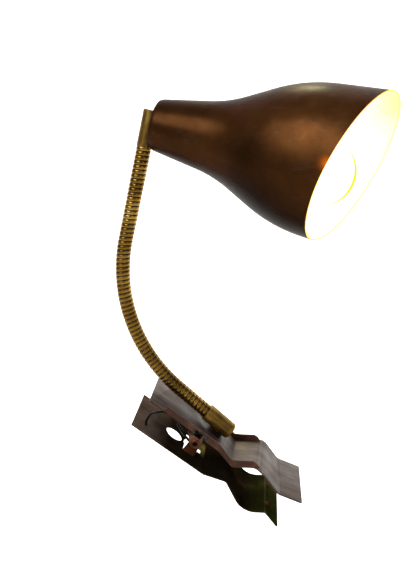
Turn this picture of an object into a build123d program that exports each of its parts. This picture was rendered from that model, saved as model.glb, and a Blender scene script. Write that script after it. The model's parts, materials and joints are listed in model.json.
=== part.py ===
"""Clip-on reading lamp: a sprung sheet-steel clip, a ribbed brass gooseneck and a bronze bell shade.

Millimetres. Origin: middle of the gripped space between the two jaws. +X runs towards the jaw tips,
+Y along the pivot rivet, +Z up. The lamp stands as it does when clipped on an upright bar.
"""
from build123d import *
from math import cos, degrees, radians, sin
import os

os.makedirs("parts", exist_ok=True)

# ---------------------------------------------------------------- driving dimensions
SHEET = 1.2                       # steel of both jaws
JAW_HALF = 25.0                   # half width of the jaws where they have no flange
FLANGED_HALF = 20.5               # half width over the upturned flanges
HANDLE_HALF = 21.5                # half width of the upper handle's plain end

# Outside faces of the two jaws, from the handle end to the lip, as x and z.
UPPER_LINE = [(-70.0, 62.5), (-22.5, 26.3), (-13.2, 14.5), (6.6, 14.5), (18.6, -2.2), (35.3, -8.7)]
UPPER_BENDS = [4.0, 3.5, 12.0, 7.0]
LOWER_LINE = [(-82.2, 46.0), (-33.0, 10.5), (-17.2, 5.5), (-6.0, -17.2), (10.3, -17.2), (18.4, -27.6)]
LOWER_BENDS = [4.0, 3.0, 16.0, 2.5]
# Top edge of the upper jaw's flanges, from the handle to the hump.
FLANGE_TOP = [(-59.5, 55.0), (-57.2, 58.3), (-21.4, 31.7), (-17.8, 26.2), (-13.2, 20.2),
              (-7.6, 19.7), (1.8, 19.7), (4.6, 17.6), (6.2, 14.6)]
FLARE = (0.0, 11.0)               # between these x the upper jaw widens to its full width

PIVOT = (-39.2, 28.4)             # x and z of the rivet's axis
RIVET_R = 2.7
RIVET_BORE = 1.9
RIVET_LIP_R = 3.5
RUNNING = 0.06                    # radial clearance of every turning fit
EAR_R = 3.9
LOWER_EAR = (12.3, 13.5)          # inner and outer face of the lower jaw's ears, from the middle
UPPER_EAR = (13.8, 15.0)          # the same for the upper jaw's ears
UPPER_EAR_BASE = (-45.5, -33.5)   # x of the ears' feet
LOWER_EAR_BASE = (-49.0, -41.5)
FLEX_WINDOW = (-49.5, -37.4)      # x of the opening between the lower jaw's two ear blanks
FLEX_WINDOW_HALF = 3.2
DART = [(-1.2, 0.4), (0.8, 2.6), (3.4, 0.4)]   # pressed ribs on the lower lip, along it and high
DART_Y = (-12.5, 12.5)

WIRE_R = 0.9                      # torsion spring
COIL_R = 4.0
COIL_HALF = 9.6                   # from the middle to the last turn's wire axis
COIL_TURNS = 10
NEAR_LEG_ANGLE = 213.5            # where each leg leaves the coil, from +X towards +Z
FAR_LEG_ANGLE = 41.1

HANGING_HOLE_R = 6.9
HANGING_HOLE_X = -56.4
BEAD_X = (-67.0, -52.0)           # pressed beads beside the lower handle's long edges
BEAD_INSET = 4.0

HOSE_R = 5.0
HOSE_BORE = 3.2
HOSE_START = (-32.2, 46.5)        # x and z where the gooseneck leaves the lower ferrule
HOSE_SLOPE = 138.7                # its direction there, from +X
HOSE_STRAIGHT = 27.4
HOSE_BEND_R = 108.6
HOSE_TURN = 61.6                  # degrees it turns, clockwise
HOSE_END = 62.1                   # straight upper run
RIBS = 68
SECTION_RIBS = 8                  # ribs between two bending points
FIRST_JOINT_RIBS = 5.5
JOINTS = 8
GROOVE = (0.45, 0.7)              # depth and width of the slits between two ribs
SECTION_SLIT = 2.1                # free gap at a bending point
FLEX_R = 1.9                      # two-core flex inside the gooseneck
FLEX_SLIT = 0.9
SOCKET = 7.0                      # how far the gooseneck enters the lower ferrule

FERRULE_R = 6.2
FERRULE_LENGTH = 23.0
POST_R = 5.1                      # round post on top of the gooseneck
POST_LENGTH = 23.9
POST_BORE = 2.3
POST_CROSS = 15.6                 # height on the post where the shade's axis passes
SPIGOT_R = 3.15                   # the post's spigot inside the gooseneck
SWIVEL_R = 3.4
SWIVEL_BORE = 2.2
NIPPLE_R = 4.0
NIPPLE_BORE = 2.9
NIPPLE_X = -27.5                  # where the inlet nipple passes through the upper jaw
INLET_R = 2.2                     # bore of the bush the cord comes in through

SHADE_AXIS = (0.9627, -0.1855, -0.1971)
SHADE_WALL = 0.9
SHADE_BACK = 5.9                  # outside of the rear wall, from the post's axis
SHADE_LINE = [(0, 16.3), (43.6, 23.6), (87.6, 45.5), (151.6, 50.1)]
SHADE_CORNER = 0.8
SHADE_CURVES = [80.0, 100.0]
MOUTH_AT = 127.2                  # where the mouth plane cuts the axis, from the rear wall
MOUTH_NORMAL = (0.813, -0.426, -0.397)

HOLDER_R = 13.5
HOLDER_DROOP = 4.0                # degrees the lampholder hangs below the shade's axis
HOLDER_SHIFT = -1.2               # from the post's axis to the datum of the lampholder's distances
HOLDER_BACK = 34.0
HOLDER_STEP = 48.0
HOLDER_FRONT = 84.0
EDISON_R = 6.8                    # crest of the small bulb cap's thread
EDISON_DEPTH = 0.5
EDISON_PITCH = 2.8
CAP_START = 60.0
BULB_R = 20.0
BULB_CENTRE = 117.6
GLASS = 0.8


# ---------------------------------------------------------------- helpers
def flat(points):
    """Face in the XZ plane from x and z pairs."""
    return make_face(Polyline(*[(x, 0, z) for x, z in points], close=True))


def slab(face, inner, outer):
    """Sheet from |y| = inner to outer on the far side, cut from an XZ face."""
    return Pos(0, inner, 0) * extrude(face, outer - inner, dir=(0, 1, 0))


def both_sides(shape):
    return shape + mirror(shape, about=Plane.XZ)


def ring(plane, outer, inner, start, end):
    """Washer or tube about a plane's normal."""
    tube = Solid.make_cylinder(outer, end - start, Plane(plane.origin, plane.x_dir, plane.z_dir).offset(start))
    if inner <= 0:
        return tube
    return tube - Solid.make_cylinder(inner, end - start, plane.offset(start))


def turned(plane, *edges):
    """Solid of revolution about a plane's normal, from edges drawn with x = radius and y = height."""
    face = make_face(edges[0] if len(edges) == 1 else list(edges))
    upright = Plane(origin=(0, 0, 0), x_dir=(1, 0, 0), z_dir=(0, -1, 0)) * face
    return plane.location * revolve(upright, Axis.Z)


def outline(*points):
    return Polyline(*points, close=True)


def nut(plane, across_flats, bore, start, end):
    prism = extrude(plane.offset(start) * RegularPolygon(across_flats / 2, 6, major_radius=False), end - start)
    return prism - Solid.make_cylinder(bore, 3 * (end - start), plane.offset(start - (end - start)))


MADE = {}


def piece(name, shape):
    solids = shape.solids() if hasattr(shape, "solids") else [shape]
    whole = solids[0] if len(solids) == 1 else Compound(children=list(solids))
    whole.label = name
    MADE[name] = whole
    export_step(whole, f"parts/{name}.step")


# ---------------------------------------------------------------- bent sheet
def bent_sheet(line, bends, low=0.0, high=SHEET, half=JAW_HALF):
    """Layer between two heights over the outside face of a bent strip."""
    path = FilletPolyline(*line, radius=bends)
    strip = make_face(offset(path, high, side=Side.LEFT, closed=True))
    if low > 0:
        strip -= make_face(offset(path, low, side=Side.LEFT, closed=True))
    return extrude(Plane.XZ * strip, half, both=True)


def handle_frame(line, x):
    """Plane on a handle's outside face: normal up through the sheet, local x down the slope."""
    (x0, z0), (x1, z1) = line[:2]
    slope = Vector(x1 - x0, 0, z1 - z0).normalized()
    foot = Vector(x, 0, z0 + (z1 - z0) * (x - x0) / (x1 - x0))
    return Plane(origin=foot, x_dir=slope, z_dir=Vector(-slope.Z, 0, slope.X))


# ---------------------------------------------------------------- clip: upper jaw
def lug(line, base, foot_height):
    """Face of an ear: an arc round the rivet that runs tangent into a foot inside the sheet."""
    feet = [handle_frame(line, x).from_local_coords(Vector(0, 0, foot_height)) for x in base]
    foot = Line((feet[0].X, feet[0].Z), (feet[1].X, feet[1].Z))
    return Plane.XZ * make_hull([Pos(*PIVOT) * Edge.make_circle(EAR_R), foot.edge()])


def window(line, span, half):
    """Cutter for the opening in a handle between two x positions."""
    middle = handle_frame(line, sum(span) / 2)
    length = (span[1] - span[0]) / middle.x_dir.X
    return middle.location * Box(length, 2 * half, 8)


def ear_blank(line, base, root):
    """Cutter for the opening one ear was folded out of: its outline laid flat, inwards from y = root."""
    seat = handle_frame(line, base[0])
    pin = seat.to_local_coords(Vector(PIVOT[0], 0, PIVOT[1]))
    run = (base[1] - base[0]) / seat.x_dir.X
    reach = pin.Z - SHEET
    blank = make_hull([Pos(pin.X, root - reach) * Edge.make_circle(EAR_R), Line((0, root), (run, root)).edge()])
    return seat.offset(-4).location * extrude(blank, 8)


def pivot_bore(radius):
    return Solid.make_cylinder(radius, 60, Plane(origin=(PIVOT[0], -30, PIVOT[1]), z_dir=(0, 1, 0)))


flange_x = FLANGE_TOP[0][0]
plan_rear = Polyline((flange_x, FLANGED_HALF), (flange_x, HANDLE_HALF), (-80, HANDLE_HALF), (-80, -HANDLE_HALF),
                     (flange_x, -HANDLE_HALF), (flange_x, -FLANGED_HALF))
plan_edges = [plan_rear, Line((60, JAW_HALF), (60, -JAW_HALF))]
for side in (-1, 1):
    inner, wide = (FLARE[0], side * FLANGED_HALF), (FLARE[1], side * JAW_HALF)
    plan_edges += [Line((flange_x, side * FLANGED_HALF), inner), Line(wide, (60, side * JAW_HALF)),
                   Spline(inner, wide, tangents=[(1, 0), (1, 0)])]
plan_prism = Pos(0, 0, -50) * extrude(make_face(plan_edges), 150)
upper_strip = bent_sheet(UPPER_LINE, UPPER_BENDS) & plan_prism

under = FilletPolyline(*UPPER_LINE, radius=UPPER_BENDS)
below = make_face(offset(under, 30, side=Side.RIGHT, closed=True))
flange_face = flat(FLANGE_TOP + [(6.0, 12.0), (-13.2, 12.0), (-24.0, 24.0), (-60.5, 53.6)])
flange = slab(flange_face, FLANGED_HALF - SHEET, FLANGED_HALF) - extrude(Plane.XZ * below, 60, both=True)

nipple = handle_frame(UPPER_LINE, NIPPLE_X)
upper_ear = slab(lug(UPPER_LINE, UPPER_EAR_BASE, SHEET / 2), *UPPER_EAR)
upper_jaw = upper_strip + both_sides(flange) + both_sides(upper_ear)
upper_jaw -= both_sides(ear_blank(UPPER_LINE, UPPER_EAR_BASE, UPPER_EAR[0]))
upper_jaw -= pivot_bore(RIVET_R)
upper_jaw -= ring(nipple, NIPPLE_R, 0, -5, 5)
piece("upper_jaw", upper_jaw)

# ---------------------------------------------------------------- clip: lower jaw
lower_ear = slab(lug(LOWER_LINE, LOWER_EAR_BASE, SHEET / 2), *LOWER_EAR)
lower_jaw = bent_sheet(LOWER_LINE, LOWER_BENDS) + both_sides(lower_ear)
lower_jaw -= both_sides(ear_blank(LOWER_LINE, LOWER_EAR_BASE, LOWER_EAR[0]))
lower_jaw -= window(LOWER_LINE, FLEX_WINDOW, FLEX_WINDOW_HALF)
lower_jaw -= pivot_bore(RIVET_R + RUNNING)
hanging = handle_frame(LOWER_LINE, HANGING_HOLE_X)
lower_jaw -= ring(hanging, HANGING_HOLE_R, 0, -5, 5)

bead = handle_frame(LOWER_LINE, sum(BEAD_X) / 2)
bead_length = (BEAD_X[1] - BEAD_X[0]) / bead.x_dir.X
for side in (-1, 1):
    line_up = bead * Pos(0, side * (JAW_HALF - BEAD_INSET), 0)
    groove = line_up * Pos(0, 0, SHEET) * extrude(SlotOverall(bead_length, 1.6), 0.5, both=True)
    raised = line_up * extrude(SlotOverall(bead_length + 1.2, 2.8), 0.5, both=True)
    lower_jaw = lower_jaw + raised - groove
lip = handle_frame(LOWER_LINE[-2:], LOWER_LINE[-2][0])
dart_points = [lip.from_local_coords(Vector(along, 0, high)) for along, high in DART]
for y in DART_Y:
    dart = make_face(Polyline(*dart_points, close=True))
    lower_jaw += Pos(0, y - 1.2, 0) * extrude(dart, 2.4, dir=(0, 1, 0))
piece("lower_jaw", lower_jaw)

# ---------------------------------------------------------------- clip: rivet and spring
rivet_axis = Plane(origin=(PIVOT[0], 0, PIVOT[1]), z_dir=(0, 1, 0))
rivet = ring(rivet_axis, RIVET_R, RIVET_BORE, -UPPER_EAR[1] - 0.8, UPPER_EAR[1] + 0.8)
for side in (-1, 1):
    end = Plane(origin=(PIVOT[0], side * UPPER_EAR[1], PIVOT[1]), z_dir=(0, side, 0))
    rolled_lip = turned(end, outline((RIVET_BORE, 0), (RIVET_LIP_R, 0), (RIVET_LIP_R, 0.3), (RIVET_R, 0.8),
                                     (RIVET_BORE + 0.3, 0.9), (RIVET_BORE, 0.5)))
    rivet += rolled_lip
piece("pivot_rivet", rivet)

# Both legs leave the coil on tangents: the near one hooks on the lower handle, the far one bears on
# the underside of the upper handle.
coil_turn = 360 * COIL_TURNS - (NEAR_LEG_ANGLE - FAR_LEG_ANGLE)
first = Vector(cos(radians(NEAR_LEG_ANGLE)), 0, sin(radians(NEAR_LEG_ANGLE)))
helix = Helix(2 * COIL_HALF * 360 / coil_turn, 2 * COIL_HALF, COIL_R, lefthand=True)
coil = Plane(origin=(PIVOT[0], -COIL_HALF, PIVOT[1]), x_dir=first, z_dir=(0, 1, 0)).location * helix

anchor = handle_frame(LOWER_LINE, -74.45)
tip = anchor.from_local_coords(Vector(0, -15, SHEET + 0.1))
near_leg = Spline(coil @ 0, (-47.2, -10.6, 32.6), (-50.4, -11.6, 39.0), (-53.0, -12.4, 44.3),
                  (-55.9, -13.3, 48.7), (-60.3, -14.1, 51.4), (-65.0, -14.7, 51.6), (-69.6, -15, 50.4),
                  (-71.6, -15, 47.9), tip, tangents=[-(coil % 0), -anchor.z_dir])
touch = handle_frame(UPPER_LINE, -47.9)
bearing = [touch.from_local_coords(Vector(-reach, 10.4 + 0.05 * reach, -WIRE_R - 0.05))
           for reach in (0, 3.5, 7)]
far_leg = Spline(coil @ 1, *bearing, tangents=[coil % 1, -touch.x_dir])


def wire(path, radius=WIRE_R):
    start = Plane(origin=path @ 0, z_dir=path % 0)
    return sweep(start * Circle(radius), path=path, is_frenet=True)


piece("torsion_spring", wire(coil) + wire(near_leg) + wire(far_leg))

# ---------------------------------------------------------------- gooseneck path
# Plane of the gooseneck: local x is the world's X, local y the world's Z.
heading = radians(HOSE_SLOPE)
start_way = Vector(cos(heading), 0, sin(heading))
end_way = Vector(cos(heading - radians(HOSE_TURN)), 0, sin(heading - radians(HOSE_TURN)))
hose_start = Vector(HOSE_START[0], 0, HOSE_START[1])
bend_start = hose_start + start_way * HOSE_STRAIGHT
bend_centre = bend_start + Vector(start_way.Z, 0, -start_way.X) * HOSE_BEND_R
bend_end = bend_centre + Vector(-end_way.Z, 0, end_way.X) * HOSE_BEND_R
ARC_LENGTH = HOSE_BEND_R * radians(HOSE_TURN)
HOSE_LENGTH = HOSE_STRAIGHT + ARC_LENGTH + HOSE_END
RIB = HOSE_LENGTH / RIBS


def hose_frame(s):
    """Plane across the gooseneck at a length from the lower ferrule; local x lies in its own plane."""
    if s <= HOSE_STRAIGHT:
        centre, way = hose_start + start_way * s, start_way
    elif s <= HOSE_STRAIGHT + ARC_LENGTH:
        turn = (s - HOSE_STRAIGHT) / HOSE_BEND_R
        out = Vector(-start_way.Z, 0, start_way.X)
        radial = out * cos(turn) + start_way * sin(turn)
        centre, way = bend_centre + radial * HOSE_BEND_R, Vector(radial.Z, 0, -radial.X)
    else:
        centre, way = bend_end + end_way * (s - HOSE_STRAIGHT - ARC_LENGTH), end_way
    return Plane(origin=centre, x_dir=Vector(way.Z, 0, -way.X), z_dir=way)


def hose_core(radius, bore, beyond=0.01):
    """Whole gooseneck as a smooth tube: one end in its socket, the other going beyond the top."""
    low, high = hose_frame(0), hose_frame(HOSE_LENGTH)
    lower = ring(low, radius, 0, -SOCKET, HOSE_STRAIGHT)
    upper = ring(high, radius, 0, -HOSE_END, beyond)
    bend_axis = Axis(bend_centre, (0, 1, 0))
    arc = revolve(hose_frame(HOSE_STRAIGHT) * Circle(radius), bend_axis, degrees(ARC_LENGTH / HOSE_BEND_R))
    solid = lower + arc + upper
    return solid if bore <= 0 else solid - hose_core(bore, 0, beyond)


def between(shape, start, end):
    """Part of the gooseneck between two planes across it."""
    kept = shape
    if start is not None:
        kept = split(kept, hose_frame(start), keep=Keep.TOP)
    if end is not None:
        kept = split(kept, hose_frame(end), keep=Keep.BOTTOM)
    return kept


joint_at = [(FIRST_JOINT_RIBS + SECTION_RIBS * k) * RIB for k in range(JOINTS)]
hose = hose_core(HOSE_R, HOSE_BORE)
flex = hose_core(FLEX_R, 0, SOCKET)

slits = [s for s in ((k + 0.5) * RIB for k in range(RIBS)) if min(abs(s - at) for at in joint_at) > 1]
hose -= [ring(hose_frame(s), HOSE_R + 1, HOSE_R - GROOVE[0], -GROOVE[1] / 2, GROOVE[1] / 2) for s in slits]
for k in range(JOINTS + 1):
    low = None if k == 0 else joint_at[k - 1]
    high = None if k == JOINTS else joint_at[k]
    for name, whole, slit in (("hose", hose, SECTION_SLIT), ("flex", flex, FLEX_SLIT)):
        start = None if low is None else low + slit / 2
        end = None if high is None else high - slit / 2
        piece(f"neck_{name}_{k}", between(whole, start, end))

# ---------------------------------------------------------------- foot of the gooseneck
ferrule = Plane(origin=hose_start, x_dir=(0, 1, 0), z_dir=-start_way)
lower_ferrule = turned(ferrule, outline(
    (HOSE_R, 0), (FERRULE_R - 0.4, 0), (FERRULE_R, 0.4), (FERRULE_R, 18.6), (FERRULE_R - 0.4, 18.9),
    (FERRULE_R - 0.4, 19.5), (FERRULE_R, 19.8), (FERRULE_R, 21.4), (FERRULE_R - 0.5, 22.4),
    (FERRULE_R - 1.8, FERRULE_LENGTH), (0, FERRULE_LENGTH), (0, 20.5), (HOSE_BORE, 20.5),
    (HOSE_BORE, SOCKET + 0.2), (HOSE_R, SOCKET + 0.2)))
lower_ferrule -= ring(nipple, NIPPLE_R, 0, 0, 8)
piece("lower_ferrule", lower_ferrule)

saddle = nipple.offset(SHEET).location * extrude(RectangleRounded(10, 10, 2), 3)
saddle -= Solid.make_cylinder(FERRULE_R, 60, ferrule.offset(-20))
piece("ferrule_saddle", saddle - ring(nipple, NIPPLE_R, 0, -5, 8))
piece("inlet_nipple", ring(nipple, NIPPLE_R, NIPPLE_BORE, -3.0, 6.2))
piece("inlet_nut", nut(nipple, 10, NIPPLE_R, -2.2, 0))
piece("inlet_bush", turned(nipple, outline((INLET_R, -4.4), (3.2, -4.4), (3.7, -3.9), (3.7, -3.0),
                                           (NIPPLE_BORE, -3.0), (NIPPLE_BORE, 0), (INLET_R, 0))))

# ---------------------------------------------------------------- head: post and swivel
post = hose_frame(HOSE_LENGTH)
cross = post.origin + end_way * POST_CROSS
axis = Vector(*SHADE_AXIS).normalized()
head = Plane(origin=cross, x_dir=axis.cross(end_way), z_dir=axis)
# The lampholder and its bulb hang a little below the shade's axis, from the nipple's end.
droop = radians(HOLDER_DROOP)
holder = Plane(origin=head.from_local_coords(Vector(0, 0, HOLDER_BACK)), x_dir=head.x_dir,
               z_dir=axis * cos(droop) + head.y_dir * sin(droop)).offset(HOLDER_SHIFT - HOLDER_BACK)

top_ferrule = turned(post, outline(
    (POST_BORE, -SOCKET), (SPIGOT_R, -SOCKET), (SPIGOT_R, 0), (POST_R - 0.4, 0), (POST_R, 0.4),
    (POST_R, POST_LENGTH - 0.4), (POST_R - 0.4, POST_LENGTH), (0, POST_LENGTH), (0, POST_CROSS + 3),
    (POST_BORE, POST_CROSS + 3)))
piece("top_ferrule", top_ferrule - ring(head, SWIVEL_R, 0, 0, 10))
piece("swivel_nipple", ring(head, SWIVEL_R, SWIVEL_BORE, 2.6, HOLDER_BACK + 2.5))
piece("swivel_nut", nut(head, 13, SWIVEL_R, SHADE_BACK + SHADE_WALL + 0.3, SHADE_BACK + SHADE_WALL + 3.3))

# ---------------------------------------------------------------- head: lampholder
holder_cap = turned(holder, outline(
    (SWIVEL_BORE, HOLDER_BACK), (6.5, HOLDER_BACK), (7.5, HOLDER_BACK + 2), (12.6, HOLDER_BACK + 6.5),
    (13.2, HOLDER_BACK + 8), (13.2, HOLDER_STEP), (12.0, HOLDER_STEP), (12.0, HOLDER_BACK + 8.5),
    (7.2, HOLDER_BACK + 4.5), (SWIVEL_BORE, HOLDER_BACK + 4.5)))
piece("holder_cap", holder_cap - ring(head, SWIVEL_R, 0, 20, HOLDER_BACK + 10))
piece("holder_body", turned(holder, outline(
    (11.6, HOLDER_STEP), (HOLDER_R, HOLDER_STEP), (HOLDER_R, HOLDER_STEP + 2.5), (12.7, HOLDER_STEP + 3),
    (12.7, HOLDER_FRONT - 4), (HOLDER_R, HOLDER_FRONT - 3.4), (HOLDER_R, HOLDER_FRONT),
    (9.2, HOLDER_FRONT), (9.2, 58), (11.6, 58))))
core = ring(holder, 11.6, 0, 50, 57.5)
screws = None
for side in (-1, 1):
    spot = holder.offset(50)
    spot = Plane(spot.from_local_coords(Vector(side * 7, 0, 0)), x_dir=holder.x_dir, z_dir=holder.z_dir)
    screw = ring(spot, 1.3, 0, -1.6, 4) + ring(spot, 2.4, 0, -1.6, 0)
    slot = (spot.location * Pos(0, 0, -1.6)) * Box(5, 0.6, 1.2)
    screws = screw - slot if screws is None else screws + (screw - slot)
    core -= ring(spot, 1.3, 0, -1, 4)
piece("terminal_screws", screws)
piece("holder_core", core)
piece("centre_contact", turned(holder, outline((0, 57.5), (3.2, 57.5), (3.2, 58.0), (1.9, 59.0), (0, 59.0))))

turns = range(7)
crests = [(EDISON_R, CAP_START + 2 + EDISON_PITCH * k) for k in turns]
roots = [(EDISON_R - EDISON_DEPTH, CAP_START + 2 + EDISON_PITCH * (k + 0.5)) for k in turns]
rolled = [point for pair in zip(crests, roots) for point in pair]
cap_outer = [(4.2, CAP_START), (EDISON_R - 0.6, CAP_START + 0.8)] + rolled + [(7.3, 82.0)]
cap_inner = [(6.9, 82.0), (6.9, 81.6)] + [(r - 0.4, h) for r, h in reversed(rolled)]
cap_inner += [(EDISON_R - 1.0, CAP_START + 1.0), (4.2, CAP_START + 0.4)]
piece("bulb_cap", turned(holder, outline(*cap_outer, *cap_inner)))
shell_inner = [(r + 0.25, h) for r, h in rolled[:-1]]
piece("thread_shell", turned(holder, outline(
    (9.2, 58.0), (7.6, 58.0), *shell_inner, (7.9, 80.0), (9.2, 80.0))))

# ---------------------------------------------------------------- head: bulb
piece("bulb_insulator", turned(holder, outline(
    (0, 59.1), (2.4, 59.1), (4.2, CAP_START), (4.2, CAP_START + 0.4), (5.6, CAP_START + 1.0),
    (5.6, CAP_START + 2.4), (0, CAP_START + 2.4))))


def glass_outline(radius, neck):
    """One side of the bulb's wall: neck, flare and round bowl."""
    join = radians(62.4)
    on_bowl = Vector(radius * cos(join), BULB_CENTRE - radius * sin(join))
    widest = (radius, BULB_CENTRE)
    tip_point = Vector(0, BULB_CENTRE + radius)
    flare = Spline((neck, 82.5), on_bowl, tangents=[(0, 1), (sin(join), cos(join))])
    return [Line((neck, 77.0), (neck, 82.5)), flare, ThreePointArc(on_bowl, widest, tip_point)]


glass_outer = glass_outline(BULB_R, 5.8)
glass_inner = glass_outline(BULB_R - GLASS, 5.8 - GLASS)
glass = turned(holder, *glass_outer, Line((5.8, 77.0), (5.8 - GLASS, 77.0)), *glass_inner,
               Line((0, BULB_CENTRE + BULB_R), (0, BULB_CENTRE + BULB_R - GLASS)))
piece("bulb_glass", glass)
piece("bulb_stem", turned(holder, outline((0, 77.0), (5.0, 77.0), (5.0, 79.0), (2.6, 84.0), (1.9, 96.0),
                                        (0, 97.0))))
glow = FilletPolyline((-1.2, 95.0), (-5.5, 108.0), (-3.0, 112.5), (3.0, 112.5), (5.5, 108.0), (1.2, 95.0),
                      radius=1.5)
glow = holder.location * (Plane.XZ * glow)
filament = sweep(Plane(origin=glow @ 0, z_dir=glow % 0) * Circle(0.35), path=glow, transition=Transition.ROUND)
piece("filament", filament - MADE["bulb_stem"])

# ---------------------------------------------------------------- shade
profile = FilletPolyline((0, SHADE_BACK), *[(r, s + SHADE_BACK) for s, r in SHADE_LINE],
                         radius=[SHADE_CORNER, *SHADE_CURVES])
wall = make_face(offset(profile, SHADE_WALL, side=Side.LEFT, closed=True))
shade = head.location * revolve(Plane.XZ * wall, Axis.Z)
mouth = Plane(origin=head.from_local_coords(Vector(0, 0, SHADE_BACK + MOUTH_AT)), z_dir=MOUTH_NORMAL)
shade = split(shade, mouth, keep=Keep.BOTTOM)
piece("shade", shade - ring(head, SWIVEL_R + RUNNING, 0, 0, 20))
piece("swivel_washer", ring(head, 7.2, SWIVEL_R + RUNNING, SHADE_BACK - 0.5, SHADE_BACK))

lamp = Compound(children=list(MADE.values()))
extent = lamp.bounding_box()
print(len(MADE), "pieces;", "from", extent.min, "to", extent.max)
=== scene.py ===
"""Clip-on reading lamp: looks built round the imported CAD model. Metres, in the CAD's frame."""
import json
from math import cos, pi, radians, sin

import bmesh
import bpy
from mathutils import Matrix, Vector


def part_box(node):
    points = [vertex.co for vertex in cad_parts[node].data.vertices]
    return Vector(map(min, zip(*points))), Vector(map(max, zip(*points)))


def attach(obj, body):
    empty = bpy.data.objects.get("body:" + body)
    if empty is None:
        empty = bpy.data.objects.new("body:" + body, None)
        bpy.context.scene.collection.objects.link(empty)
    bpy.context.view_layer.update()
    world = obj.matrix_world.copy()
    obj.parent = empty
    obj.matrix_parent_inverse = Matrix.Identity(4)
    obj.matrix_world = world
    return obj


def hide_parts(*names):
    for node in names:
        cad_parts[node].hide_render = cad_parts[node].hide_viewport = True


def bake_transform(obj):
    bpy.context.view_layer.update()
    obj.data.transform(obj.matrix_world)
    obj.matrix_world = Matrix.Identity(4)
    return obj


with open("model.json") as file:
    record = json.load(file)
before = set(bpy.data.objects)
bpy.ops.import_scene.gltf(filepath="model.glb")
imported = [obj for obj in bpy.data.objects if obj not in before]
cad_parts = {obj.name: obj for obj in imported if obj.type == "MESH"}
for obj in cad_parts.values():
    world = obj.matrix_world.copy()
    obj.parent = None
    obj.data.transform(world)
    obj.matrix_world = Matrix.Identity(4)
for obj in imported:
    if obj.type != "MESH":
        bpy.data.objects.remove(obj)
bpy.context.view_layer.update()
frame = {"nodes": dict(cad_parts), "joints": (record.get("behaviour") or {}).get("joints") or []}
NODES = frame["nodes"]
JOINTS = {joint["name"]: joint for joint in frame["joints"]}
MM = 0.001

# ---------------------------------------------------------------- driving sizes, as in the CAD
HOSE_R = 5.0 * MM
HOSE_STRAIGHT = 27.4 * MM
HOSE_BEND_R = 108.6 * MM
HOSE_TURN = radians(61.6)
HOSE_END = 62.1 * MM
RIBS = 68
FIRST_JOINT_RIBS = 5.5
SECTION_RIBS = 8
WIRE_R = 0.9 * MM
COIL_R = 4.0 * MM
COIL_HALF = 9.6 * MM
COIL_ANGLES = (213.5, 41.1)
COIL_TURNS = 10
SHADE_BACK = 5.9 * MM
SHADE_WALL = 0.9 * MM
SHADE_HOLE = 3.46 * MM
SHADE_LINE = [(0, 0), (0, 16.3), (43.6, 23.6), (87.6, 45.5), (151.6, 50.1)]
SHADE_BENDS = [0.8, 80.0, 100.0]
MOUTH_AT = 127.2 * MM
BULB_R = 20.0 * MM
MOUTH_NORMAL = (0.813, -0.426, -0.397)
EDGE_ROUND = 0.4 * MM

# ---------------------------------------------------------------- places that the finishes refer to
LIP_BEND_X = 10.3 * MM                    # bend of the lower lip
DART_Y = 12.5 * MM                        # pressed darts in that bend, to either side
DART_Z = -16.5 * MM
NEAR_EAR = (-0.0392, -0.015, 0.0284)      # rivet end of the near upper ear
LOWER_EAR = (-0.047, -0.0135, 0.019)      # root of the near lower ear
LIT_PATCH = (-0.0355, 0.004, 0.0135)     # painted light: a lit patch in the lower jaw's throat, where light comes through the gap
WAIST = (0.0, -0.045, 0.205)              # shaded side of the shade's waist
RIM_GLOW = (0.0389, -0.0722, 0.2270)      # where light spills over the shade's near edge
BULB_FLANK = (0.524, 0.822, -0.227)       # way that the bulb's yellow flank faces

TURN_AT = Vector(JOINTS["shade_turn"]["pos_m"])
SHADE_WAY = Vector(JOINTS["shade_turn"]["axis"]).normalized()
SHADE_SIDE = SHADE_WAY.cross(Vector((0, 0, 1))).normalized()
SHADE_UP = SHADE_SIDE.cross(SHADE_WAY)
MOUTH = TURN_AT + SHADE_WAY * (SHADE_BACK + MOUTH_AT)


# ---------------------------------------------------------------- materials
def srgb(red, green, blue):
    """Linear colour from 0-255 display values."""
    def linear(value):
        value /= 255
        return value / 12.92 if value <= 0.04045 else ((value + 0.055) / 1.055) ** 2.4
    return (linear(red), linear(green), linear(blue), 1.0)


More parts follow.
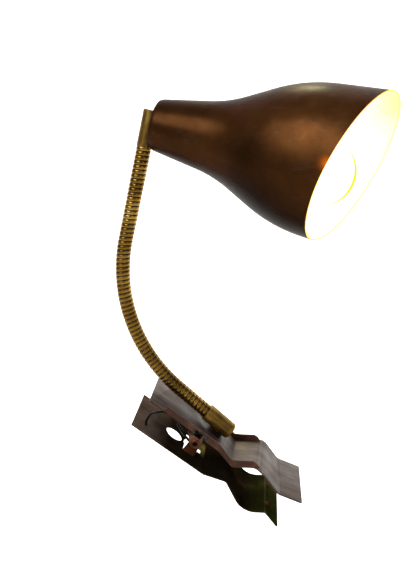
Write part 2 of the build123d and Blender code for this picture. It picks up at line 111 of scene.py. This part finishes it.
class Finish:
    """Small builder for a node material."""

    def __init__(self, name, roughness=0.5, metallic=0.0, **sockets):
        self.material = bpy.data.materials.new(name)
        self.material.use_nodes = True
        self.tree = self.material.node_tree
        self.shader = self.tree.nodes["Principled BSDF"]
        self.shader.inputs["Roughness"].default_value = roughness
        self.shader.inputs["Metallic"].default_value = metallic
        for socket, value in sockets.items():
            self.shader.inputs[socket.replace("_", " ")].default_value = value
        self.coordinates = self.add("ShaderNodeTexCoord")
        self.place = self.coordinates.outputs["Object"]
        self.bumps = None

    def add(self, kind, **settings):
        node = self.tree.nodes.new(kind)
        for key, value in settings.items():
            setattr(node, key, value)
        return node

    def link(self, source, target):
        self.tree.links.new(source, target)

    def stretched(self, scale, turn=(0, 0, 0)):
        node = self.add("ShaderNodeMapping")
        node.inputs["Scale"].default_value = scale
        node.inputs["Rotation"].default_value = turn
        self.link(self.place, node.inputs["Vector"])
        return node.outputs["Vector"]

    def noise(self, scale, detail=4.0, rough=0.55, place=None, distortion=0.0):
        node = self.add("ShaderNodeTexNoise")
        node.inputs["Scale"].default_value = scale
        node.inputs["Detail"].default_value = detail
        node.inputs["Roughness"].default_value = rough
        node.inputs["Distortion"].default_value = distortion
        self.link(place or self.place, node.inputs["Vector"])
        return node.outputs["Fac"]

    def ramp(self, value, *stops):
        node = self.add("ShaderNodeValToRGB")
        band = node.color_ramp
        while len(band.elements) < len(stops):
            band.elements.new(0.5)
        for element, (at, colour) in zip(band.elements, stops):
            element.position = at
            element.color = colour if isinstance(colour, tuple) else (colour, colour, colour, 1)
        self.link(value, node.inputs["Fac"])
        return node.outputs["Color"]

    def span(self, value, low, high, to_low=0.0, to_high=1.0):
        node = self.add("ShaderNodeMapRange")
        limits = {"From Min": low, "From Max": high, "To Min": to_low, "To Max": to_high}
        for socket, number in limits.items():
            node.inputs[socket].default_value = number
        self.link(value, node.inputs["Value"])
        return node.outputs["Result"]

    def maths(self, operation, first, second):
        node = self.add("ShaderNodeMath", operation=operation)
        for socket, value in zip(node.inputs, (first, second)):
            if isinstance(value, (int, float)):
                socket.default_value = value
            else:
                self.link(value, socket)
        return node.outputs["Value"]

    def mix(self, share, first, second, blend="MIX"):
        node = self.add("ShaderNodeMix", data_type="RGBA", blend_type=blend)
        for name, value in {"Factor": share, "A": first, "B": second}.items():
            if isinstance(value, (int, float, tuple)):
                node.inputs[name].default_value = value
            else:
                self.link(value, node.inputs[name])
        return node.outputs["Result"]

    def split(self, vector, name):
        node = self.add("ShaderNodeSeparateXYZ")
        self.link(vector, node.inputs["Vector"])
        return node.outputs[name]

    def across(self, name, low, high):
        """0 to 1 between two positions along an axis of the frame."""
        return self.span(self.split(self.place, name), low, high)

    def facing(self, name):
        """Component of the surface's own normal."""
        return self.split(self.coordinates.outputs["Normal"], name)

    def near(self, spot, inner, outer):
        """1 within one distance of a spot, 0 beyond another."""
        node = self.add("ShaderNodeVectorMath", operation="DISTANCE")
        node.inputs[1].default_value = spot
        self.link(self.place, node.inputs[0])
        return self.span(node.outputs["Value"], outer, inner)

    def colour(self, value):
        self.link(value, self.shader.inputs["Base Color"])
        return self

    def rough(self, value):
        self.link(value, self.shader.inputs["Roughness"])
        return self

    def bump(self, height, strength=0.2, distance=0.0002):
        node = self.add("ShaderNodeBump")
        node.inputs["Strength"].default_value = strength
        node.inputs["Distance"].default_value = distance
        self.link(height, node.inputs["Height"])
        if self.bumps:
            self.link(self.bumps, node.inputs["Normal"])
        self.bumps = node.outputs["Normal"]
        self.link(self.bumps, self.shader.inputs["Normal"])
        return self


def bronze_lacquer():
    """Outside of the shade: dark brown lacquer, cloudy, with pale scuffs near the mouth; painted shade
    towards the bottom, the neck and the waist, and a painted orange glow at the near edge.
    """
    f = Finish("bronze_lacquer", 0.35, 0.55, Specular_IOR_Level=0.1, Specular_Tint=srgb(70, 44, 26))
    cloud = f.noise(22, 5, 0.6)
    tone = f.ramp(cloud, (0.3, srgb(56, 33, 14)), (0.48, srgb(76, 46, 22)), (0.62, srgb(92, 57, 28)),
                  (0.78, srgb(112, 72, 40)))
    smear = f.noise(60, 6, 0.7, f.stretched((1.0, 0.3, 2.2), (0, 0.5, 0.2)), 0.6)
    tone = f.mix(f.span(smear, 0.56, 0.74, 0.0, 0.5), tone, srgb(104, 80, 62))
    speck = f.noise(1100, 2, 0.5)
    tone = f.mix(f.span(speck, 0.72, 0.78, 0.0, 0.6), tone, srgb(128, 96, 68))
    # painted shade: darker towards the bottom, towards the neck and on the waist's shaded side
    tone = f.mix(f.maths("MULTIPLY", f.across("Z", 0.240, 0.196), 0.75), tone, srgb(34, 18, 7))
    tone = f.mix(f.maths("MULTIPLY", f.across("X", 0.025, -0.03), 0.45), tone, srgb(36, 21, 11))
    tone = f.mix(f.maths("MULTIPLY", f.near(WAIST, 0.005, 0.045), 0.7), tone, srgb(24, 12, 5))
    mouthward = f.across("X", 0.045, 0.085)
    scuff = f.noise(170, 5, 0.75, f.stretched((0.5, 1.6, 2.2), (0, 0.9, 0.3)), 0.8)
    scuff = f.maths("MULTIPLY", mouthward, f.span(scuff, 0.60, 0.68, 0.0, 0.6))
    tone = f.mix(scuff, tone, srgb(150, 134, 120))
    f.colour(tone)
    f.rough(f.span(f.noise(60, 6), 0.3, 0.7, 0.26, 0.4))
    f.bump(f.noise(500, 3), 0.04)
    # painted light: an orange glow emitted near the rim, where bulb light spills over the edge
    glow = f.maths("POWER", f.near(RIM_GLOW, 0.0005, 0.010), 4.0)
    f.shader.inputs["Emission Color"].default_value = srgb(255, 120, 8)
    f.link(f.maths("MULTIPLY", glow, 2.6), f.shader.inputs["Emission Strength"])
    return f.material


def inner_white():
    """Inside of the shade: white paint that glows as painted light, with painted yellow light towards the
    mouth and along the cut edge.
    """
    f = Finish("shade_inside", 0.5)
    paint_tone = f.ramp(f.noise(40, 3), (0.3, srgb(250, 244, 222)), (0.7, srgb(253, 250, 236)))
    offset = f.add("ShaderNodeVectorMath", operation="SUBTRACT")
    offset.inputs[1].default_value = MOUTH
    f.link(f.place, offset.inputs[0])
    depth = f.add("ShaderNodeVectorMath", operation="DOT_PRODUCT")
    depth.inputs[1].default_value = Vector(MOUTH_NORMAL).normalized()
    f.link(offset.outputs["Vector"], depth.inputs[0])
    # painted light: yellow towards the mouth, higher up, and along the cut edge
    edge = f.span(depth.outputs["Value"], -0.0010, 0.0004)
    yellow_light = f.maths("MULTIPLY", f.span(depth.outputs["Value"], -0.030, 0.0), f.across("Z", 0.215, 0.262))
    mottled = f.maths("MULTIPLY", yellow_light, f.span(f.noise(26, 3), 0.3, 0.6, 0.3, 1.0))
    tone = f.mix(mottled, paint_tone, srgb(255, 248, 120))
    tone = f.mix(edge, tone, srgb(255, 234, 110))
    f.colour(tone)
    # painted light: the wall glows with its own colour
    f.link(tone, f.shader.inputs["Emission Color"])
    f.link(f.span(f.noise(18, 3), 0.3, 0.7, 0.46, 0.58), f.shader.inputs["Emission Strength"])
    f.bump(f.noise(600, 2), 0.04)
    return f.material


def lit_rim():
    """Cut edge of the shade: painted light, glowing orange-yellow as if lit by the bulb."""
    f = Finish("shade_rim", 0.4, 0.4)
    tone = f.ramp(f.noise(30, 3), (0.35, srgb(226, 140, 20)), (0.65, srgb(255, 214, 40)))
    f.colour(tone)
    f.link(tone, f.shader.inputs["Emission Color"])
    f.link(f.span(f.noise(24, 2), 0.3, 0.7, 0.35, 0.9), f.shader.inputs["Emission Strength"])
    return f.material


def jaw_grey():
    """Upper jaw: worn grey-taupe lacquer, brown on the faces that face sideways: the outer faces of its
    flanges and ears.
    """
    f = Finish("jaw_grey", 0.45, 0.3, Specular_IOR_Level=0.3)
    grain = f.noise(70, 7, 0.7, f.stretched((0.25, 1.6, 0.25)), 0.3)
    tone = f.ramp(grain, (0.3, srgb(48, 36, 31)), (0.5, srgb(76, 61, 54)), (0.72, srgb(110, 92, 83)))
    scratch = f.noise(260, 4, 0.7, f.stretched((0.25, 2.5, 0.25), (0, 0, 0.3)))
    tone = f.mix(f.span(scratch, 0.60, 0.7), tone, srgb(58, 48, 45))
    side_brown = f.ramp(f.noise(55, 6, 0.7), (0.3, srgb(44, 24, 15)), (0.52, srgb(74, 43, 29)),
                  (0.74, srgb(114, 76, 58)))
    # brown on faces that face sideways
    sideways = f.maths("ABSOLUTE", f.facing("Y"), 0)
    outside = f.maths("MULTIPLY", f.span(sideways, 0.75, 0.93), f.across("Z", 0.010, 0.014))
    tone = f.mix(outside, tone, side_brown)
    copper = f.ramp(f.noise(80, 5, 0.6), (0.3, srgb(84, 46, 30)), (0.55, srgb(126, 78, 54)),
                    (0.78, srgb(158, 106, 78)))
    tone = f.mix(f.near(NEAR_EAR, 0.0065, 0.0085), tone, copper)
    f.colour(tone)
    f.rough(f.span(f.noise(80, 5), 0.3, 0.7, 0.36, 0.58))
    f.bump(scratch, 0.08)
    return f.material


def jaw_green():
    """Lower jaw: very dark brown-black lacquer, made darker still as painted shade inside the clamp, taupe
    on the handle's end, olive on the lip, with a painted lit patch in the throat and painted highlights
    along the lip's bend and on its darts.
    """
    f = Finish("jaw_green", 0.45, Specular_IOR_Level=0.0)
    cloud = f.noise(45, 5, 0.6)
    # the near-black tone is partly the lacquer and partly painted shade inside the clamp
    black = f.ramp(cloud, (0.3, srgb(18, 13, 8)), (0.55, srgb(32, 25, 16)), (0.8, srgb(54, 44, 30)))
    olive = f.ramp(cloud, (0.3, srgb(28, 31, 9)), (0.55, srgb(44, 46, 16)), (0.8, srgb(66, 64, 28)))
    taupe = f.ramp(cloud, (0.3, srgb(62, 50, 44)), (0.55, srgb(90, 76, 68)), (0.8, srgb(116, 100, 90)))
    tone = f.mix(f.across("X", -0.058, -0.070), black, taupe)
    tone = f.mix(f.across("X", -0.006, 0.010), tone, olive)
    amber = f.ramp(f.noise(90, 5, 0.6), (0.3, srgb(50, 26, 12)), (0.6, srgb(86, 50, 28)),
                   (0.8, srgb(124, 80, 48)))
    ears = f.span(f.maths("ABSOLUTE", f.facing("Y"), 0), 0.6, 0.8)
    tone = f.mix(f.maths("MULTIPLY", ears, f.near(LOWER_EAR, 0.006, 0.010)), tone, amber)
    # painted light: olive-gold lit patch in the throat
    lit_patch = f.near(LIT_PATCH, 0.004, 0.011)
    tone = f.mix(f.maths("MULTIPLY", lit_patch, f.across("X", -0.0338, -0.0346)), tone, srgb(122, 112, 60))
    # painted highlight: a light line along the lip's bend
    from_bend = f.maths("ABSOLUTE", f.maths("SUBTRACT", f.split(f.place, "X"), LIP_BEND_X), 0)
    bend_highlight = f.maths("MULTIPLY", f.span(from_bend, 0.0008, 0.0003), f.span(cloud, 0.35, 0.6, 0.1, 0.6))
    tone = f.mix(bend_highlight, tone, srgb(96, 88, 74))
    # painted highlight: reddish light on each pressed dart
    for side in (-1, 1):
        dart = f.near((LIP_BEND_X + 0.0012, side * DART_Y, DART_Z), 0.001, 0.0023)
        tone = f.mix(dart, tone, srgb(98, 56, 43))
    f.colour(tone)
    f.rough(f.span(f.noise(90, 5), 0.3, 0.7, 0.4, 0.6))
    f.bump(f.noise(350, 4), 0.08)
    return f.material


def brass(name, dark, middle, light, roughness=(0.2, 0.45), metallic=0.9, scale=60, stain=0.5):
    f = Finish(name, 0.3, metallic)
    tone = f.ramp(f.noise(scale, 6, 0.62), (0.3, srgb(*dark)), (0.52, srgb(*middle)), (0.72, srgb(*light)))
    tarnish = f.noise(scale * 3, 5, 0.7, distortion=0.5)
    tone = f.mix(f.span(tarnish, 0.58, 0.74, 0.0, stain), tone, srgb(52, 32, 12))
    f.colour(tone)
    f.rough(f.span(f.noise(scale * 2, 5), 0.3, 0.7, *roughness))
    f.bump(tarnish, 0.08)
    return f.material


def groove_shade():
    """Painted shade: dark, dull bottom of the grooves between the gooseneck's windings."""
    f = Finish("groove_painted_shade", 0.6, 0.4)
    f.colour(f.ramp(f.noise(200, 4), (0.35, srgb(14, 8, 3)), (0.65, srgb(36, 22, 8))))
    f.rough(f.span(f.noise(300, 3), 0.3, 0.7, 0.5, 0.75))
    return f.material


def steel(name, dark, light, roughness=(0.3, 0.5), metallic=0.9):
    f = Finish(name, 0.4, metallic)
    grain = f.noise(120, 5, 0.6)
    f.colour(f.ramp(grain, (0.35, srgb(*dark)), (0.65, srgb(*light))))
    f.rough(f.span(f.noise(200, 4), 0.3, 0.7, *roughness))
    f.bump(grain, 0.1)
    return f.material


def moulded(name, dark, light, roughness=(0.35, 0.5)):
    f = Finish(name, 0.4)
    f.colour(f.ramp(f.noise(70, 4), (0.35, srgb(*dark)), (0.65, srgb(*light))))
    f.rough(f.span(f.noise(300, 3), 0.3, 0.7, *roughness))
    f.bump(f.noise(1500, 2), 0.1)
    return f.material


def glowing_glass(centre):
    """Opal bulb, lit: warm white, with painted shade: a dimmer yellow band round the flank away from the
    near side.
    """
    f = Finish("opal_glass", 0.4, Specular_IOR_Level=0.0)
    warm = f.ramp(f.noise(25, 2), (0.3, srgb(255, 249, 226)), (0.7, srgb(255, 251, 236)))
    away = f.add("ShaderNodeVectorMath", operation="SUBTRACT")
    away.inputs[1].default_value = centre
    f.link(f.place, away.inputs[0])
    unit = f.add("ShaderNodeVectorMath", operation="NORMALIZE")
    f.link(away.outputs["Vector"], unit.inputs[0])
    lean = f.add("ShaderNodeVectorMath", operation="DOT_PRODUCT")
    lean.inputs[1].default_value = BULB_FLANK
    f.link(unit.outputs["Vector"], lean.inputs[0])
    lean = lean.outputs["Value"]
    # painted shade: a yellow, dimmer band on the flank
    flank = f.maths("MULTIPLY", f.span(lean, 0.03, 0.08), f.span(lean, 0.45, 0.25))
    tone = f.mix(flank, warm, srgb(255, 236, 0))
    f.colour(tone)
    f.link(tone, f.shader.inputs["Emission Color"])
    f.link(f.span(flank, 0.0, 1.0, 1.6, 0.3), f.shader.inputs["Emission Strength"])
    return f.material


def paint(names, material):
    for name in names:
        data = NODES[name].data
        data.materials.clear()
        data.materials.append(material)


# ---------------------------------------------------------------- mesh helpers
def piece(name, mesh, material, smooth=True):
    thing = bpy.data.objects.new(name, mesh)
    bpy.context.scene.collection.objects.link(thing)
    mesh.materials.append(material)
    if smooth:
        mesh.shade_smooth()
    return thing


def grid_mesh(name, rows, closed=True, caps=False):
    """Quads between rows of points; each row closes on itself."""
    bm = bmesh.new()
    lines = [[bm.verts.new(point) for point in row] for row in rows]
    count = len(rows[0])
    for low, high in zip(lines, lines[1:]):
        for k in range(count if closed else count - 1):
            after = (k + 1) % count
            bm.faces.new((low[k], low[after], high[after], high[k]))
    if caps:
        bm.faces.new(list(reversed(lines[0])))
        bm.faces.new(lines[-1])
    bmesh.ops.recalc_face_normals(bm, faces=bm.faces)
    mesh = bpy.data.meshes.new(name)
    bm.to_mesh(mesh)
    bm.free()
    return mesh


def softened(node, body, material, width):
    """Copy of a CAD piece with small rounds on its sharp edges, shown in its place."""
    source = NODES[node]
    bm = bmesh.new()
    bm.from_mesh(source.data)
    bm.transform(source.matrix_world)
    bmesh.ops.remove_doubles(bm, verts=bm.verts, dist=1e-7)
    bmesh.ops.dissolve_limit(bm, angle_limit=radians(0.3), verts=bm.verts, edges=bm.edges)
    sharp = [edge for edge in bm.edges if len(edge.link_faces) == 2 and edge.calc_face_angle() > radians(38)]
    bmesh.ops.bevel(bm, geom=sharp, offset=width, offset_type="OFFSET", segments=2, profile=0.5,
                    affect="EDGES", clamp_overlap=True)
    mesh = bpy.data.meshes.new(node + "_soft")
    bm.to_mesh(mesh)
    bm.free()
    soft = piece(node + "_soft", mesh, material)
    mesh.set_sharp_from_angle(angle=radians(28))
    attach(soft, body)
    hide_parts(node)


def rounded(points, radii, swing=0.02):
    """Polyline with its inner corners turned into arcs, in 2-D."""
    line = [Vector(points[0])]
    for before, corner, after, radius in zip(points, points[1:], points[2:], radii):
        corner = Vector(corner)
        back = (Vector(before) - corner).normalized()
        ahead = (Vector(after) - corner).normalized()
        half = back.angle(ahead) / 2
        centre = corner + (back + ahead).normalized() * radius / sin(half)
        start = corner + back * radius * cos(half) / sin(half) - centre
        turn = pi - 2 * half
        sign = 1 if back.x * ahead.y - back.y * ahead.x < 0 else -1
        steps = max(6, round(turn / swing))
        for k in range(steps + 1):
            angle = sign * turn * k / steps
            line.append(centre + Vector((start.x * cos(angle) - start.y * sin(angle),
                                         start.x * sin(angle) + start.y * cos(angle))))
    return line + [Vector(points[-1])]


def swept(name, path, radius, around=14):
    """Round wire along a list of points, with no twist."""
    ways = [(path[min(k + 1, len(path) - 1)] - path[max(k - 1, 0)]).normalized() for k in range(len(path))]
    side = ways[0].orthogonal().normalized()
    rows = []
    for centre, way in zip(path, ways):
        side = (side - way * side.dot(way)).normalized()
        up = way.cross(side)
        rows.append([centre + (side * cos(a) + up * sin(a)) * radius
                     for a in (2 * pi * k / around for k in range(around))])
    return grid_mesh(name, rows, caps=True)


def through(points, steps=8):
    """Catmull-Rom curve through the points."""
    ends = [points[0] * 2 - points[1], *points, points[-1] * 2 - points[-2]]
    line = []
    for a, b, c, d in zip(ends, ends[1:], ends[2:], ends[3:]):
        for k in range(steps):
            t = k / steps
            line.append(0.5 * (2 * b + (c - a) * t + (2 * a - 5 * b + 4 * c - d) * t ** 2
                               + (3 * b - a - 3 * c + d) * t ** 3))
    return line + [points[-1]]


# ---------------------------------------------------------------- gooseneck
first_hinge = Vector(JOINTS["neck_sway_1"]["pos_m"])
sway_axis = Vector(JOINTS["neck_sway_1"]["axis"])
START_WAY = Vector((-sway_axis.z, 0, sway_axis.x))
ARC = HOSE_BEND_R * HOSE_TURN
HOSE_LENGTH = HOSE_STRAIGHT + ARC + HOSE_END
RIB = HOSE_LENGTH / RIBS
HOSE_START = first_hinge - START_WAY * FIRST_JOINT_RIBS * RIB
HOSE_BODIES = ["clip"] + [f"neck_{k}" for k in range(1, 8)] + ["head"]
HOSE_AROUND = 40
FOOT_RIBS = 4         # windings below and above the outermost bending lengths
TOP_RIBS = 2
RIB_STEPS = (0.0, 0.03, 0.08, 0.16, 0.3, 0.5, 0.7, 0.84, 0.92, 0.97)
CROWN = (0.08, 0.84)  # share of a winding between its two groove flanks


def hose_at(s):
    """Point and direction on the gooseneck's centre line."""
    if s <= HOSE_STRAIGHT:
        return HOSE_START + START_WAY * s, START_WAY
    bend_start = HOSE_START + START_WAY * HOSE_STRAIGHT
    centre = bend_start + Vector((START_WAY.z, 0, -START_WAY.x)) * HOSE_BEND_R
    turn = Matrix.Rotation(min((s - HOSE_STRAIGHT) / HOSE_BEND_R, HOSE_TURN), 3, "Y")
    way = turn @ START_WAY
    point = centre + turn @ (bend_start - centre)
    return point + way * max(0.0, s - HOSE_STRAIGHT - ARC), way


def rib_radius(t):
    """Radius across one winding: a rounded crown between two narrow grooves."""
    return HOSE_R - 0.55 * MM * abs(2 * t - 1) ** 9 - 0.28 * MM * abs(2 * t - 1) ** 2


def hose_section(k):
    """Wound length that bends over one joint. The winding is one long helical strip."""
    around = HOSE_AROUND
    low = FIRST_JOINT_RIBS + SECTION_RIBS * (k - 0.5)
    high = low + SECTION_RIBS
    if k == 0:
        low -= FOOT_RIBS
    if k == len(HOSE_BODIES) - 2:
        high += TOP_RIBS
    last = round(high - low) * around
    bm = bmesh.new()
    strips = []
    for t in RIB_STEPS:
        strip = []
        for j in range(last + around + 1 if t == 0 else last + 1):
            centre, way = hose_at((low + j / around + t) * RIB)
            turn = 2 * pi * j / around
            out = Vector((way.z, 0, -way.x)) * cos(turn) + Vector((0, 1, 0)) * sin(turn)
            strip.append(bm.verts.new(centre + out * rib_radius(t)))
        strips.append(strip)
    strips.append(strips[0][around:])
    for t, lower, upper in zip(RIB_STEPS, strips, strips[1:]):
        for j in range(last):
            face = bm.faces.new((lower[j], lower[j + 1], upper[j + 1], upper[j]))
            # groove faces take the second material, painted shade
            face.material_index = 0 if CROWN[0] <= t < CROWN[1] else 1
    bmesh.ops.remove_doubles(bm, verts=bm.verts, dist=1e-7)
    bmesh.ops.recalc_face_normals(bm, faces=bm.faces)
    mesh = bpy.data.meshes.new("hose")
    bm.to_mesh(mesh)
    bm.free()
    return mesh


def build_gooseneck(material, groove):
    last = len(HOSE_BODIES) - 2
    for k in range(last + 1):
        section = piece(f"gooseneck_{k + 1}", hose_section(k), material)
        section.data.materials.append(groove)
        replaced = [f"neck_hose_{k}"] if k < last else [f"neck_hose_{k}", f"neck_hose_{k + 1}"]
        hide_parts(*replaced)
        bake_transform(section)


# ---------------------------------------------------------------- shade
SHADE_AROUND = 240
CORNER_POINTS = 14


def meridians():
    """Outer and inner wall lines as (distance behind the rear face, radius), from the hole outwards."""
    outer = [p * MM for p in rounded(SHADE_LINE, SHADE_BENDS)]
    outer[0] = Vector((0, SHADE_HOLE))
    inner = []
    for k, point in enumerate(outer):
        way = (outer[min(k + 1, len(outer) - 1)] - outer[max(k - 1, 0)]).normalized()
        inner.append(point + Vector((way.y, -way.x)) * SHADE_WALL)
    inner[0] = Vector((SHADE_WALL, SHADE_HOLE))
    return outer, inner


def generator(line, angle, steps=72):
    """One wall line in space, cut by the mouth plane and spaced evenly beyond the rear corner."""
    out = SHADE_SIDE * cos(angle) + SHADE_UP * sin(angle)
    normal = Vector(MOUTH_NORMAL).normalized()
    points = [TURN_AT + SHADE_WAY * (SHADE_BACK + p.x) + out * p.y for p in line]
    kept = [points[0]]
    for a, b in zip(points, points[1:]):
        high, low = (a - MOUTH).dot(normal), (b - MOUTH).dot(normal)
        if low > 0:
            kept.append(a.lerp(b, high / (high - low)))
            break
        kept.append(b)
    tail = kept[CORNER_POINTS:]
    lengths = [0.0]
    for a, b in zip(tail, tail[1:]):
        lengths.append(lengths[-1] + (b - a).length)
    even = []
    at = 0
    for k in range(steps + 1):
        want = lengths[-1] * k / steps
        while at < len(tail) - 2 and lengths[at + 1] < want:
            at += 1
        even.append(tail[at].lerp(tail[at + 1], (want - lengths[at]) / (lengths[at + 1] - lengths[at])))
    return kept[:CORNER_POINTS] + even


def build_shade(outside, inside, rim):
    normal = Vector(MOUTH_NORMAL).normalized()
    angles = [2 * pi * j / SHADE_AROUND for j in range(SHADE_AROUND)]
    outer, inner = ([generator(line, angle) for angle in angles] for line in meridians())
    rims = []
    for share in (0.2, 0.5, 0.8):
        lift = normal * SHADE_WALL * (0.25 if share == 0.5 else 0.18)
        rims.append([a[-1].lerp(b[-1], share) + lift for a, b in zip(outer, inner)])
    rows = [list(ring) for ring in zip(*outer)] + rims + [list(ring) for ring in reversed(list(zip(*inner)))]
    rows.append(rows[0])
    mesh = grid_mesh("shade_shell", rows)
    shade = piece("shade_shell", mesh, outside)
    mesh.materials.append(rim)
    mesh.materials.append(inside)
    first, last = len(outer[0]) - 1, len(outer[0]) + len(rims)
    for face in mesh.polygons:
        row = face.index // SHADE_AROUND
        face.material_index = 0 if row < first else 1 if row < last else 2
    mesh.set_sharp_from_angle(angle=radians(40))
    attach(shade, "shade")
    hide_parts("shade")


# ---------------------------------------------------------------- torsion spring
PIVOT = Vector(JOINTS["jaw_pivot"]["pos_m"])


def spring_path():
    near, far = (radians(a) for a in COIL_ANGLES)
    sweep = 2 * pi * COIL_TURNS - (near - far)
    steps = 24 * COIL_TURNS
    coil = []
    for k in range(steps + 1):
        share = k / steps
        angle = near + sweep * share
        coil.append(PIVOT + Vector((COIL_R * cos(angle), COIL_HALF * (2 * share - 1), COIL_R * sin(angle))))
    near_leg = [Vector(p) * MM for p in (
        (-73.7, -15.0, 41.5), (-73.2, -15.0, 44.8), (-71.6, -15.0, 47.9), (-69.6, -15.0, 50.4),
        (-65.0, -14.7, 51.6), (-60.3, -14.1, 51.4), (-55.9, -13.3, 48.7), (-53.0, -12.4, 44.3),
        (-50.4, -11.6, 39.0), (-47.2, -10.6, 32.6))]
    far_leg = [Vector(p) * MM for p in ((-41.8, 9.9, 37.5), (-48.4, 10.4, 44.8), (-53.9, 10.7, 49.2))]
    return through(near_leg + coil[:1])[:-1] + coil + through(coil[-1:] + far_leg)[1:]


def build_spring(material):
    spring = piece("torsion_wire", swept("torsion_wire", spring_path(), WIRE_R), material)
    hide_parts("torsion_spring")
    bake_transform(spring)


# ---------------------------------------------------------------- stage, light and camera
def build_stage():
    f = Finish("studio_paper", 0.9, Emission_Color=(1, 1, 1, 1))
    f.link(f.across("Y", 0.0, 0.3), f.shader.inputs["Emission Strength"])
    f.colour(f.ramp(f.noise(2, 2), (0.3, srgb(250, 250, 250)), (0.7, srgb(253, 253, 253))))
    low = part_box("lower_jaw")[0].z - 0.12
    rows = []
    profile = [(-3.0, 0.0), (0.6, 0.0)] + [(0.6 + 0.5 * sin(a), 0.5 - 0.5 * cos(a))
                                           for a in (radians(9 * k) for k in range(1, 11))] + [(1.1, 3.0)]
    for y, z in profile:
        rows.append([Vector((x, y, low + z)) for x in (-3.0, 0.0, 3.0)])
    backdrop = piece("backdrop", grid_mesh("backdrop", rows, closed=False), f.material)


def area_light(name, place, target, size, power, colour=(1, 1, 1)):
    light = bpy.data.lights.new(name, "AREA")
    light.shape = "DISK"
    light.size = size
    light.energy = power
    light.color = colour
    thing = bpy.data.objects.new(name, light)
    thing.location = place
    thing.rotation_euler = (Vector(target) - Vector(place)).to_track_quat("-Z", "Y").to_euler()
    bpy.context.scene.collection.objects.link(thing)


def build_light():
    world = bpy.data.worlds.new("studio")
    bpy.context.scene.world = world
    world.use_nodes = True
    world.node_tree.nodes["Background"].inputs["Color"].default_value = (1, 1, 1, 1)
    world.node_tree.nodes["Background"].inputs["Strength"].default_value = 0.12
    middle = (0.0, 0.0, 0.12)
    area_light("key", (-0.7, -0.9, 1.1), middle, 1.1, 15)
    area_light("fill", (0.9, -0.9, 0.4), middle, 1.0, 1.5)
    area_light("strip", (-0.52, -1.0, 0.41), (-0.05, -0.02, 0.24), 0.07, 0.5)
    area_light("rim", (0.0, 0.9, 1.2), middle, 0.25, 5, (1.0, 0.94, 0.5))


def build_camera():
    data = bpy.data.cameras.new("camera")
    data.sensor_width = 36
    data.lens = 43.2
    data.clip_start = 0.01
    camera = bpy.data.objects.new("camera", data)
    camera.location = (0.00643, -0.4579, 0.25734)
    camera.rotation_euler = (radians(90 - 14.92), 0, radians(4.73))
    bpy.context.scene.collection.objects.link(camera)
    bpy.context.scene.camera = camera


# ---------------------------------------------------------------- assembly
bulb_low, bulb_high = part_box("bulb_glass")
bulb_centre = Vector((bulb_high.x - BULB_R, bulb_low.y + BULB_R, bulb_low.z + BULB_R))
aged = brass("aged_brass", (84, 62, 20), (128, 98, 40), (166, 132, 66), (0.3, 0.5), 0.85)
paint(["lower_ferrule", "top_ferrule", "inlet_nipple", "swivel_nipple", "swivel_nut", "thread_shell",
       "centre_contact"], aged)
# the saddle is painted very dark as painted shade under the ferrule
paint(["ferrule_saddle"], brass("saddle_dark_shade", (22, 13, 7), (40, 25, 13), (62, 40, 22), (0.35, 0.55), 0.6))
paint(["pivot_rivet"], brass("rivet_copper", (70, 36, 24), (112, 66, 46), (150, 98, 72), (0.3, 0.5), 0.7))
paint(["inlet_nut", "terminal_screws"], steel("steel", (52, 38, 32), (96, 78, 70)))
paint([f"neck_flex_{k}" for k in range(9)], moulded("flex", (92, 74, 40), (122, 98, 56)))
paint(["inlet_bush", "bulb_insulator"], moulded("black_plastic", (10, 10, 10), (28, 28, 28)))
paint(["holder_cap", "holder_body"], moulded("holder_brown", (34, 20, 13), (54, 34, 23)))
paint(["holder_core"], moulded("ceramic", (208, 202, 188), (226, 221, 208)))
paint(["bulb_cap", "filament"], steel("bulb_metal", (150, 148, 142), (200, 198, 192)))
paint(["bulb_glass", "bulb_stem"], glowing_glass(bulb_centre))
paint(["swivel_washer"], moulded("fibre", (60, 30, 20), (84, 46, 32)))
hose_brass = brass("hose_brass", (94, 66, 22), (146, 110, 44), (204, 166, 86), (0.2, 0.34), 1.0, 45, 0.4)

softened("upper_jaw", "clip", jaw_grey(), EDGE_ROUND)
softened("lower_jaw", "lower_jaw", jaw_green(), EDGE_ROUND)
build_shade(bronze_lacquer(), inner_white(), lit_rim())
build_gooseneck(hose_brass, groove_shade())
build_spring(steel("spring_dark", (16, 14, 13), (44, 40, 38)))
build_stage()
build_light()
build_camera()
bpy.context.scene.view_settings.view_transform = "Standard"
